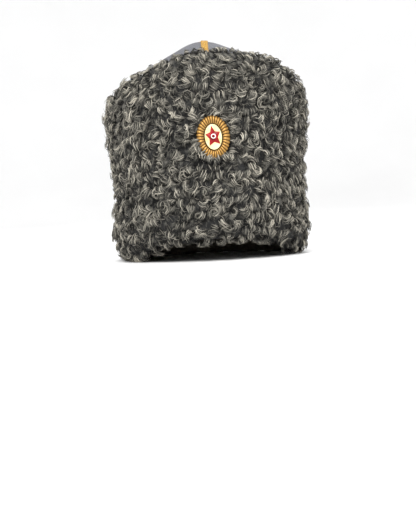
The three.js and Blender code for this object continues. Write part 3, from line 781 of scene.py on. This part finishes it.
def makeTufts(plan, finish):
    # One row for each strand, each a little off its tuft's own way
    t = tufts
    count = len(plan["bearing"])
    strands = t["strands"]
    total = count * strands

    def each(key):
        return np.repeat(plan[key], strands, axis=0)

    out, calm = each("out"), each("calm")

    def wander(key):
        return dice.normal(0, t[key], total) * calm

    ahead = turnAbout(each("ahead"), out, wander("strandWander"))
    rise = each("rise") + wander("riseWander")
    radius = each("radius") * (1 + wander("sizeWander"))
    line, across, proud, s = curlLines(ahead, out, rise, each("lean"), each("turn"), radius,
                                       t["rings"])
    s = np.broadcast_to(s, (total, t["rings"]))
    core = line.mean(1, keepdims=True)
    # A strand's rank goes from -1 to 1 across its tuft; the outer ones are curled tighter
    rank = np.tile((np.arange(strands) + 0.5) / strands * 2 - 1, count)[:, None]
    rank = rank + dice.normal(0, t["rankWander"], (total, 1))
    grow = 1 - each("barrel")[:, None] * rank**2
    atRoot = blendOf(t["rootSpread"], 1.0, smooth(s, 0, 0.35))
    atTip = blendOf(1.0, each("tips")[:, None], smooth(s, 0.5, 1))
    offset = rank * each("width")[:, None] / 2 * (atRoot * atTip)
    offset = offset + t["crimp"] * crimpWaves(s, t["crimpTurn"])
    swell = each("bulge")[:, None] * (1 - rank**2) * smooth(s, 0, 0.25)
    swell = swell + dice.normal(0, t["swellWander"], (total, 1))
    centre = core + (line - core) * grow[..., None]
    lift = (centre * out[:, None, :]).sum(-1)
    centre = centre - out[:, None, :] * (lift * (1 - each("flatness")[:, None]))[..., None]
    roots = each("place") + out * each("start")[:, None]
    roots = roots + ahead * wander("rootWander")[:, None]
    middle = roots[:, None, :] + centre + across * offset[..., None] + proud * swell[..., None]
    middle, lift = easeDown(middle, each("place"), out, each("ease")[:, None])
    taper = t["rootTaper"] + (1 - t["rootTaper"]) * smooth(s, 0, 0.3)
    taper = taper * (1 - t["tipTaper"] * smooth(s, 0.6, 1))
    half = t["strandWidth"] / 2 * dice.uniform(*t["widthSpread"], (total, 1)) * taper
    points = tubeRound(middle, across, proud, half, half * t["strandThickness"] / t["strandWidth"])
    # The hairs' own light and dark mix, plus painted shade darker near the skin
    tone = strandToneAndShade(lift, total)
    tone = tone + np.repeat(dice.normal(0, t["tuftTone"], count), strands)[:, None]
    # Painted light: paler on the upper side of each curl. Painted shadow: darker along the crease
    # below the cockade.
    tone = tone + t["paintedTopLight"] * proud[..., 2] - paintedCreaseShadow(middle)
    tone = tone[..., None] + dice.normal(0, t["cornerTone"], (total, 1, 3))
    # One piece for each sixth of the way round, the first with its middle in front
    names = ["front", "front_right", "back_right", "back", "back_left", "front_left"]
    sixth = np.mod(plan["bearing"] / fullTurn + 1 / 12, 1) * 6
    sector = np.repeat(np.floor(sixth).astype(int), strands)
    triangles = 0
    for number, name in enumerate(names):
        chosen = sector == number
        faces = tubeFaces(int(chosen.sum()), t["rings"])
        piece = meshOf("curls_" + name, points[chosen], faces, [finish], {"tone": tone[chosen]})
        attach(piece, "root")
        triangles += 2 * len(faces[0]) + len(faces[1])
    print("tufts:", count, "with", total, "strands,", triangles, "triangles")


def makeLooseHairs(finish):
    # Single hairs that bow out of the pile, each one curl line with a wave across it
    h = looseHairs
    count = h["count"]
    bearing, path = dice.uniform(0, fullTurn, count), dice.uniform(*h["path"], count)
    frames = skinFrame(bearing, path)
    x, y, z = frames[0].T
    keep = (badgeReach(x, z - h["badgeDrop"]) > h["badgeClear"]) | (y > 0)
    bearing, path, place, sideways, down, out = (a[keep] for a in (bearing, path, *frames))
    count = len(bearing)
    lay = drift(bearing, path) + dice.normal(0, h["layWander"], count)
    ahead = np.cos(lay)[:, None] * down + np.sin(lay)[:, None] * sideways
    radius, length = dice.uniform(*h["radius"], count), dice.uniform(*h["length"], count)
    rise, lean = dice.uniform(*h["rise"], count), dice.normal(0, h["lean"], count)
    line, across, proud, s = curlLines(ahead, out, rise, lean, length / radius, radius, h["rings"])
    s = np.broadcast_to(s, (count, h["rings"]))
    wave = h["crimp"] * crimpWaves(s, h["crimpTurn"])
    middle = place[:, None, :] + out[:, None, :] * h["lie"] + line + across * wave[..., None]
    middle, _ = easeDown(middle, place, out, tufts["ease"])
    half = h["width"] / 2 * (1 - h["tipTaper"] * smooth(s, 0.3, 1))
    points = tubeRound(middle, across, proud, half, half)
    tone = h["tone"] + dice.normal(0, h["toneWander"], (count, 1, 1))
    tone = tone * np.ones(points.shape[:-1])
    piece = meshOf("loose_hairs", points, tubeFaces(count, h["rings"]), [finish], {"tone": tone})
    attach(piece, "root")
    print("loose hairs:", count)


def strandFinish():
    # From dark roots to pale tips by the strands' tone, where the dark roots are painted shade and
    # the tone also carries painted light and a painted crease shadow, with fine flecks along them
    n = Nodes("grey_strands")
    tone = n.add("Attribute", attribute_name="tone").outputs["Fac"]
    place = n.add("TexCoord").outputs["Object"]
    fleck = n.add("TexNoise", {"Vector": place, "Scale": 900.0, "Detail": 2.0}).outputs["Fac"]
    mixed = n.add("Math", {0: fleck, 1: 0.26, 2: tone}, operation="MULTIPLY_ADD").outputs["Value"]
    colour = n.ramp(mixed, [(0.20, shade(14, 14, 13)), (0.46, shade(88, 86, 79)),
                            (0.68, shade(131, 127, 117)), (0.95, shade(186, 180, 165))])
    n.set(Base_Color=colour, Roughness=0.6, Specular_IOR_Level=0.3)
    return n.material


def closedRings(rings, attributes=None):
    # Rings of as many points each, closed at both ends by a fan to the end ring's middle, where
    # an attribute takes its end ring's mean
    rows, columns = rings.shape[:2]
    points = np.concatenate([rings.reshape(-1, 3), rings[:1].mean(1), rings[-1:].mean(1)])
    c = np.arange(columns)
    start = np.stack([np.full(columns, rows * columns), c, (c + 1) % columns], axis=-1)
    end = np.stack([np.full(columns, rows * columns + 1), (c + 1) % columns, c], axis=-1)
    end[:, 1:] += (rows - 1) * columns
    faces = [gridFaces(rows, columns), start, end]
    spread = {key: np.concatenate([v.ravel(), v[:1].mean(1), v[-1:].mean(1)])
              for key, v in (attributes or {}).items()}
    return points, faces, spread


def outwards(points, faces):
    # A closed surface whose volume comes out negative has its faces turned round
    volume = 0
    for part in faces:
        for k in range(1, part.shape[1] - 1):
            a, b, c = points[part[:, 0]], points[part[:, k]], points[part[:, k + 1]]
            volume += (a * np.cross(b, c)).sum()
    return faces if volume > 0 else [part[:, ::-1] for part in faces]


def joined(parts):
    # Several closed surfaces as one list of points and faces
    points, faces, start = [], [], 0
    for somePoints, someFaces in parts:
        points.append(somePoints)
        faces += [part + start for part in outwards(somePoints, someFaces)]
        start += len(somePoints)
    return np.concatenate(points), faces


# The cloth crown: height lost from the apex to the edge, by share of the radius
crown = {
    "fall": [(0.0, 0.0), (0.12, 0.04), (0.26, 0.132), (0.42, 0.28), (0.58, 0.434), (0.74, 0.6),
             (0.88, 0.79), (1.0, 1.0)],
    "sag": 2.2,                       # the soft cloth hangs this much lower halfway out towards +X
    "seatGap": 0.3, "thickness": 2.4, "columns": 192, "outerRings": 56, "innerRings": 16,
    "ringCrowding": 0.8,              # under 1, the outer rings lie closer together
    "pucker": 0.35, "puckers": 46,    # mm, and their number round the edge
    "puckersFrom": 0.72, "puckerDrift": 2.2, "puckerTwist": 5.0,
    "trough": 0.9, "troughWidth": 6.0,   # the braids are stitched down into the padded cloth
}


def crownPoint(bearing, reach, inset=0.0):
    # The cloth's surface at a bearing and a share of the radius, or as far inside it as the inset
    edge = crestHeight(bearing) - wall["ledgeDrop"] + crown["seatGap"]
    fall = readTable(crown["fall"], 1, reach)
    place = around((crownHalf[0] - inset) * reach, (crownHalf[1] - inset) * reach, bearing,
                   blendOf(crownHigh[2] - inset, edge, fall))
    place[..., 2] -= (crown["sag"] * np.maximum(0, np.sin(bearing))
                      * np.sin(math.pi * np.minimum(reach, 1)))
    # Bell-shaped troughs e^(-d^2) along both braids
    dip = [np.exp(-(place[..., axis] / crown["troughWidth"]) ** 2) for axis in (0, 1)]
    place[..., 2] -= crown["trough"] * np.maximum(*dip)
    return place


def crownOver(x, y):
    # The point of the crown's outside above a place in plan
    a, b = x / crownHalf[0], y / crownHalf[1]
    return crownPoint(np.arctan2(a, -b), np.minimum(np.hypot(a, b), 1))


def crownFrame(x, y):
    # That point and the way the cloth faces there, from its neighbours a step away
    step = 0.4
    sideways = crownOver(x + step, y) - crownOver(x - step, y)
    back = crownOver(x, y + step) - crownOver(x, y - step)
    return crownOver(x, y), unit(np.cross(sideways, back))


def makeCrown():
    c = crown
    bearing = np.linspace(0, fullTurn, c["columns"], endpoint=False)[None, :]
    outer = np.linspace(0, 1, c["outerRings"] + 1)[1:, None] ** c["ringCrowding"]
    inner = np.linspace(1, 0, c["innerRings"] + 1)[:-1, None]
    outside = crownPoint(bearing, outer)
    # Gathers at the seam with the fur: shallow waves that die out inwards
    wave = np.sin(c["puckers"] * bearing + c["puckerDrift"] * np.sin(3 * bearing)
                  + c["puckerTwist"] * outer)
    outside[..., 2] += c["pucker"] * wave * smooth(outer, c["puckersFrom"], 1.0)
    rings = np.concatenate([outside, crownPoint(bearing, inner, c["thickness"])])
    points, faces, _ = closedRings(rings)
    piece = meshOf("crown_wool", points, outwards(points, faces), [clothFinish()])
    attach(piece, "root")
    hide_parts("crown_cloth")
    print("crown:", len(points), "points")


# Gold braid, woven in ribs along its length and plaited across them
braid = {
    "width": 7.0, "thickness": 0.7, "reach": 0.955, "ribs": 5, "stations": 320, "samples": 21,
    "plait": 1.9, "plaitRelief": 0.12, "ribRelief": 0.28, "edge": 0.35, "lie": 0.12,
    # The lengthwise one lies over the other, a little towards +X and not quite straight
    "crossingGap": 0.9, "liftEnd": 3.5, "overCrossing": 0.95, "aside": 1.8, "skew": 0.024,
}


def makeBraid(name, along, node, finish):
    # A ribbon of s mm along and u (-1 to 1) across, laid on the crown and closed underneath
    b = braid
    lengthwise = along == "y"
    halfCloth = crownHalf[1] if lengthwise else crownHalf[0]
    s = np.linspace(-1, 1, b["stations"])[:, None] * b["reach"] * halfCloth
    u = np.linspace(-1, 1, b["samples"])[None, :]
    # Ribs: |cos| across the width; each rib carries a slanted plait whose lean alternates
    rib = np.abs(np.cos(math.pi * b["ribs"] * (u + 1) / 2 + math.pi / 2))
    lean = np.where(np.floor((u + 1) / 2 * b["ribs"]) % 2 == 0, 1, -1)
    plait = np.sin(fullTurn * s / b["plait"] + lean * (u + 1) * b["ribs"] * math.pi / 2)
    body = b["edge"] + (1 - b["edge"]) * (1 - np.abs(u) ** 6)
    level = b["thickness"] * body * (1 - b["ribRelief"] + b["ribRelief"] * rib)
    level = level + b["plaitRelief"] * plait * rib
    wide = u * b["width"] / 2 + 0 * s
    x, y = (wide + b["aside"] + b["skew"] * s, s + 0 * u) if lengthwise else (s + 0 * u, wide)
    place, out = crownFrame(x, y)
    crossing = b["width"] / 2 + b["crossingGap"]
    near = (1 - smooth(np.abs(s), crossing, b["liftEnd"] * crossing)) * lengthwise
    lift = b["lie"] + (b["overCrossing"] - b["lie"]) * near
    top = place + out * (lift + level)[..., None]
    under = [0, b["samples"] // 2, b["samples"] - 1]
    bottom = (place + out * (lift + 0 * u)[..., None])[:, under[::-1]]
    loops = np.concatenate([top, bottom], axis=1)
    across = np.concatenate([u + 0 * s, (u + 0 * s)[:, under[::-1]]], axis=1)
    length = np.repeat(s, loops.shape[1], axis=1)
    points, faces, spread = closedRings(loops, {"across": across, "along": length})
    piece = meshOf(name, points, outwards(points, faces), [finish], spread)
    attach(piece, "root")
    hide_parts(node)
    print(name + ":", len(points), "points")


# The cockade. Levels are in mm above the plate's back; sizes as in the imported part
cockade = {
    "centre": 117.7, "offset": 3.0, "sink": 2.2, "step": 0.04, "lean": 0.07,
    "width": 31.6, "height": 41.0, "rays": 36, "rayRelief": 0.55, "samplesPerRay": 8,
    "edge": 1.2, "crown": 2.9, "wellWidth": 16.6, "wellHeight": 24.6, "wellFloor": 1.0, "lip": 0.75,
    "backInset": 1.4, "floorRing": 0.5,
    # Rings of the rays from the well's lip outwards, and the share of the crown's height over them
    "rayRings": [0, 0.03, 0.08, 0.16, 0.28, 0.42, 0.58, 0.72, 0.84, 0.93, 0.98, 1.0],
    "raySwell": [(0, 0.35), (0.08, 0.66), (0.4, 1.0), (0.75, 0.78), (0.93, 0.3), (1, 0.0)],
    # Rings of the lip from the rays in to the well: place in lip widths, level, shade in its hollow
    "lipRings": [(1.75, 1.9, 1.0), (1.5, 2.35, 0.9), (1.15, 2.5, 0.85), (0.8, 2.35, 0.9),
                 (0.55, 1.9, 1.0), (0.5, 1.0, 1.0)],
    "enamelBase": 1.3, "enamelEdge": 0.75, "enamelDome": 0.5, "enamelGap": 0.5, "enamelRound": 0.1,
    "enamelRings": [1, 1, 0.985, 0.95, 0.85, 0.7, 0.5, 0.25], "enamelSides": 72,
    "starBase": 2.4, "starWidth": 14.2, "starHeight": 18.6, "starNotch": 0.53, "starEdge": 0.35,
    "starRise": 0.4, "starLean": 0.08, "starFlare": 0.25, "starRidge": 1.05,
    "bossBase": 3.7, "bossRadius": 2.3, "bossHole": 1.5, "bossThickness": 0.6,
    "bossSides": 40, "bossRings": 12,
    "prongWidth": 2.0, "prongThickness": 0.7, "prongSpread": 9.0, "prongFold": 6.0,
    "prongReach": 1.1, "prongRoot": 0.2, "prongPath": 0.55,
}


def cockadeFrame():
    # The plate's seat on the wall and its three directions: across, up and outwards
    c = cockade
    low, high = rimLift(0.0), crestHeight(np.array(0.0))
    share = (c["centre"] - low) / (high - low)
    halfX, halfY = outerHalf(share)
    bearing = np.arcsin(c["offset"] / halfX)

    def wallAt(share):
        x, y = outerHalf(share)
        height = blendOf(rimLift(bearing), crestHeight(np.array(bearing)), share)
        return around(x, y, bearing, height)

    up = unit(wallAt(share + c["step"]) - wallAt(share - c["step"]))
    across = unit(np.array([halfX * np.cos(bearing), halfY * np.sin(bearing), 0]))
    out = unit(np.cross(across, up))
    seat = around(halfX, halfY, bearing, c["centre"]) - out * c["sink"]
    upright = np.cross(out, across)
    level, tilt = math.cos(c["lean"]), math.sin(c["lean"])
    return seat, np.stack([across * level + upright * tilt, upright * level - across * tilt, out])


def onCockade(local):
    # Points given across, up and outwards from the plate's back
    seat, axes = cockadeFrame()
    return seat + local @ axes


def ovalPoints(width, height, turn, level):
    # Point of an oval: width / 2 cos(turn), height / 2 sin(turn)
    parts = np.broadcast_arrays(width / 2 * np.cos(turn), height / 2 * np.sin(turn), level)
    return np.stack(parts, axis=-1)


def boxPoints(low, high):
    # A box between two corners, as two rings of four
    low, high = np.array(low, float), np.array(high, float)
    corner = np.array([[0, 0], [1, 0], [1, 1], [0, 1]])
    plan = low[:2] + corner * (high - low)[:2]
    rings = [np.concatenate([plan, np.full((4, 1), z)], axis=1) for z in (low[2], high[2])]
    points, faces, _ = closedRings(np.stack(rings))
    return points, faces


def prongBoxes(middle, side):
    # A prong through the wall, and its end folded flat inside it
    c = cockade
    depth = outerHalf(c["prongPath"])[1] - innerHalf(c["prongPath"])[1]
    depth = depth - c["sink"] + c["prongReach"] + c["prongThickness"]
    w, t = c["prongWidth"] / 2, c["prongThickness"] / 2
    ends = sorted((middle, middle + side * c["prongFold"]))
    return [boxPoints((-w, middle - t, -depth), (w, middle + t, c["prongRoot"])),
            boxPoints((-w, ends[0], -depth), (w, ends[1], -depth + c["prongThickness"]))]


def makePlate(finish):
    # Ovals from the back over the edge and the rays, down the lip and across the well's floor
    c = cockade
    turn = np.linspace(0, fullTurn, c["rays"] * c["samplesPerRay"], endpoint=False)[None, :]
    reach = np.array(c["rayRings"])[:, None]
    swell = readTable(c["raySwell"], 1, reach)
    # Rays: rounded ridges |cos| with sharp valleys between them, deeper towards the edge
    valley = 1 - np.abs(np.cos(turn * c["rays"] / 2))
    depth = c["rayRelief"] * smooth(reach, 0, 0.1) * (0.8 + 0.2 * reach)
    level = blendOf(c["edge"], c["crown"], swell) - depth * valley
    notch = c["rayRelief"] * valley * smooth(reach, 0.8, 1.0)
    inner = (c["wellWidth"] + 2 * c["lip"], c["wellHeight"] + 2 * c["lip"])
    front = ovalPoints(blendOf(inner[0], c["width"], reach) - 2 * notch,
                       blendOf(inner[1], c["height"], reach) - 2 * notch, turn, level)[::-1]
    lipPlace, lipLevel, lipShade = np.array(c["lipRings"]).T[:, :, None]
    lipPlace = lipPlace * c["lip"]
    lip = ovalPoints(c["wellWidth"] + lipPlace, c["wellHeight"] + lipPlace, turn, lipLevel)
    floor = ovalPoints(c["wellWidth"] * c["floorRing"], c["wellHeight"] * c["floorRing"], turn,
                       c["wellFloor"])
    back = ovalPoints(c["width"] - c["backInset"], c["height"] - c["backInset"], turn, 0.0)
    rings = np.concatenate([back, front, lip, floor])
    zero = np.zeros(turn.shape)
    rayShade = valley**1.2 * (1.1 - 0.35 * reach)
    hollow = np.concatenate([zero, rayShade[::-1], lipShade + zero, zero + 1])
    points, faces, spread = closedRings(rings, {"hollow": hollow})
    parts = [(points, faces)]
    for side in (-1, 1):
        parts += prongBoxes(side * c["prongSpread"] / 2, side)
    allPoints, allFaces = joined(parts)
    hollow = np.concatenate([spread["hollow"], np.zeros(len(allPoints) - len(points))])
    piece = meshOf("cockade_rays", onCockade(allPoints), allFaces, [finish], {"hollow": hollow})
    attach(piece, "root")
    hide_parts("cockade_plate")


def makeEnamel():
    # Ovals: the underside's and the edge's, then a dome whose height is 1 - reach^2
    c = cockade
    turn = np.linspace(0, fullTurn, c["enamelSides"], endpoint=False)[None, :]
    reach = np.array(c["enamelRings"])[:, None]
    level = c["enamelEdge"] + c["enamelDome"] * (1 - reach**2)
    level[:3, 0] = [0, c["enamelEdge"] - c["enamelRound"], c["enamelEdge"]]
    width, height = c["wellWidth"] - c["enamelGap"], c["wellHeight"] - c["enamelGap"]
    rings = ovalPoints(width * reach, height * reach, turn, c["enamelBase"] + level)
    points, faces, _ = closedRings(rings)
    cream = enamelFinish("cream_enamel", shade(232, 218, 170), shade(206, 180, 112), 0.2)
    piece = meshOf("cockade_cream", onCockade(points), outwards(points, faces), [cream])
    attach(piece, "root")
    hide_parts("cockade_enamel")


def starOutline(scale):
    # Ten corners, in turn a tip and a notch: -x sin(turn), y cos(turn), with the lower arms
    # spread a little and the whole star leaning
    c = cockade
    tipX = c["starWidth"] / (2 * math.sin(0.4 * math.pi))
    tipY = c["starHeight"] / (1 + math.cos(0.2 * math.pi))
    number = np.arange(10)
    length = scale * np.where(number % 2, c["starNotch"], 1.0)
    turn = number / 10 * fullTurn
    x = -length * tipX * np.sin(turn) * (1 + c["starFlare"] * np.maximum(0, -np.cos(turn)))
    y = length * tipY * np.cos(turn)
    side, up = math.sin(c["starLean"]), math.cos(c["starLean"])
    return np.stack([x * up - y * side, c["starRise"] + x * side + y * up], axis=-1)


def makeStar(gilt):
    # Rings of ten corners from the base up the side and over the ridged face: each ring's scale,
    # its level, and how much lower its notches lie than its tips
    c = cockade
    edge, ridge = c["starEdge"], c["starRidge"]
    levels = [(1.0, 0.0, 0), (1.0, edge, 0), (0.985, edge + 0.05, 0), (0.96, edge + 0.02, 0.05),
              (0.45, 0.5 * (edge + ridge), 0.22), (0.2, ridge, 0)]
    notches = np.arange(10) % 2
    rings = []
    for scale, level, valley in levels:
        height = c["starBase"] + level - notches * valley
        rings.append(np.concatenate([starOutline(scale), height[:, None]], axis=1))
    points, faces, _ = closedRings(np.array(rings))
    red = enamelFinish("red_enamel", shade(152, 10, 18), shade(90, 4, 8), 0.0)
    # The side and the underside are gilt, the face is enamelled
    isGilt = np.concatenate([np.repeat([1, 0, 0, 0, 0], 10), np.ones(10), np.zeros(10)])
    piece = meshOf("cockade_red_star", onCockade(points), outwards(points, faces), [red, gilt],
                   soft=False, faceMaterials=isGilt)
    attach(piece, "root")
    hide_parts("cockade_star")


def makeBoss():
    # A ring with a rounded section: its radius and level go round an oval
    c = cockade
    turn = np.linspace(0, fullTurn, c["bossSides"], endpoint=False)[None, :]
    part = np.linspace(0, fullTurn, c["bossRings"], endpoint=False)[:, None]
    outer, hole = c["bossRadius"], c["bossHole"]
    radius = (outer + hole) / 2 + (outer - hole) / 2 * np.cos(part)
    level = c["bossBase"] + c["bossThickness"] / 2 * (1 + np.sin(part))
    rings = ovalPoints(2 * radius, 2 * radius, turn, level) + [0, c["starRise"], 0]
    points = rings.reshape(-1, 3)
    faces = outwards(points, [gridFaces(c["bossRings"], c["bossSides"], rowsMeet=True)])
    white = enamelFinish("white_enamel", shade(252, 250, 246), shade(226, 222, 214), 0.2)
    piece = meshOf("cockade_white_ring", onCockade(points), faces, [white])
    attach(piece, "root")
    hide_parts("cockade_boss")


def clothFinish():
    # Fine nap over a cloudy change of tone
    n = Nodes("grey_wool")
    nap = n.grain(Scale=1300.0, Detail=4.0, Low=0.32, High=0.68, Depth=0.0006)
    cloud = n.grain(Scale=45.0, Low=0.3, High=0.7, Depth=0.0)
    mixed = n.add("Math", {0: cloud.outputs["Mask"], 1: 0.5, 2: nap.outputs["Mask"]},
                  operation="MULTIPLY_ADD").outputs["Value"]
    n.set(Base_Color=n.ramp(mixed, [(0.1, shade(52, 53, 58)), (1.0, shade(92, 93, 99))]),
          Roughness=0.9, Sheen_Weight=0.08, Sheen_Roughness=0.5, Normal=nap.outputs["Normal"])
    return n.material


def threadFinish():
    # Threads aslant: the sine of a phase that grows along the braid and across it
    n = Nodes("gold_thread")
    across = n.add("Attribute", attribute_name="across").outputs["Fac"]
    along = n.add("Attribute", attribute_name="along").outputs["Fac"]
    slant = n.add("Math", {0: across, 1: 9.0}, operation="MULTIPLY").outputs["Value"]
    phase = n.add("Math", {0: along, 1: 9.5, 2: slant}, operation="MULTIPLY_ADD").outputs["Value"]
    thread = n.add("Math", {0: phase}, operation="SINE").outputs["Value"]
    share = n.add("MapRange", {"Value": thread, "From Min": -1.0, "From Max": 1.0}).outputs["Result"]
    stops = [(0.0, shade(112, 78, 20)), (0.45, shade(172, 128, 36)), (1.0, shade(204, 160, 60))]
    bump = n.add("Bump", {"Height": share, "Strength": 0.6, "Distance": 0.0002})
    n.set(Base_Color=n.ramp(share, stops), Roughness=0.62, Metallic=0.15, Specular_IOR_Level=0.3,
          Normal=bump.outputs["Normal"])
    return n.material


def giltFinish():
    # Darker and duller in the hollows, with faint flecks
    n = Nodes("gilt_metal")
    hollow = n.add("Attribute", attribute_name="hollow").outputs["Fac"]
    fleck = n.grain(Scale=700.0, Detail=4.0, Low=0.3, High=0.7, Depth=0.00005)
    dark = n.add("Math", {0: fleck.outputs["Mask"], 1: 0.25, 2: hollow},
                 operation="MULTIPLY_ADD").outputs["Value"]
    stops = [(0.1, shade(164, 126, 66)), (0.5, shade(120, 86, 38)), (1.0, shade(60, 36, 16))]
    dull = n.add("MapRange", {"Value": dark, "To Min": 0.36, "To Max": 0.65}).outputs["Result"]
    n.set(Base_Color=n.ramp(dark, stops), Metallic=0.75, Roughness=dull,
          Normal=fleck.outputs["Normal"])
    return n.material


def enamelFinish(name, light, dark, coat):
    # Hard enamel, cloudy between two tones
    n = Nodes(name)
    cloud = n.grain(Scale=160.0, Low=0.3, High=0.62, Depth=0.00004)
    n.set(Base_Color=n.ramp(cloud.outputs["Mask"], [(0.0, dark), (1.0, light)]), Roughness=0.28,
          Specular_IOR_Level=0.25, Coat_Weight=coat, Coat_Roughness=0.08,
          Normal=cloud.outputs["Normal"])
    return n.material


placeCamera()
setStudio()

tuftPlan = planTufts()
strands = strandFinish()
makePelt(tuftPlan)
makeTufts(tuftPlan, strands)
makeLooseHairs(strands)

makeCrown()
thread = threadFinish()
makeBraid("gold_braid_crosswise", "x", "braid_crosswise", thread)
makeBraid("gold_braid_lengthwise", "y", "braid_lengthwise", thread)

gilt = giltFinish()
makePlate(gilt)
makeEnamel()
makeStar(gilt)
makeBoss()
print("cockade: plate, enamel, star and ring")
